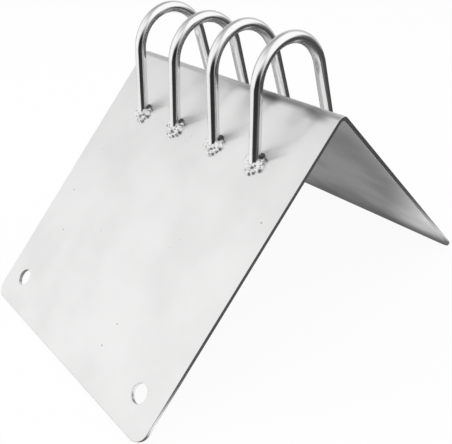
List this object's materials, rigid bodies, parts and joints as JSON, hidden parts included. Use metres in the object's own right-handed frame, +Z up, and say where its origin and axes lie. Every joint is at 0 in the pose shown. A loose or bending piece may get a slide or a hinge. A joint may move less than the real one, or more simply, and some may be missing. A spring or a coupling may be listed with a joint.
{
  "type": "edge protector",
  "caption": "Folded steel sheet that sits over an edge, with round rod hoops welded astride the fold to guide ropes and lashing holes in one flap.",
  "frame": {"origin": "on the surface it stands on, under the middle of the fold", "axes": "+X along the fold, +Y from the flap with the lashing holes towards the rear flap, +Z up"},
  "size_m": [0.21, 0.3324, 0.2108],
  "materials": {
    "sheet": "satin stainless sheet, pale and softly mottled",
    "rod": "bright polished stainless round bar",
    "weld": "rippled bead as welded, bright crests with dull heat-stained edges"
  },
  "bodies": {
    "root": {"folded_sheet": "sheet", "hoop_1": "rod", "hoop_2": "rod", "hoop_3": "rod", "hoop_4": "rod", "front_weld_1": "weld", "front_weld_2": "weld", "front_weld_3": "weld", "front_weld_4": "weld", "rear_weld_1": "weld", "rear_weld_2": "weld", "rear_weld_3": "weld", "rear_weld_4": "weld"}
  },
  "joints": []
}
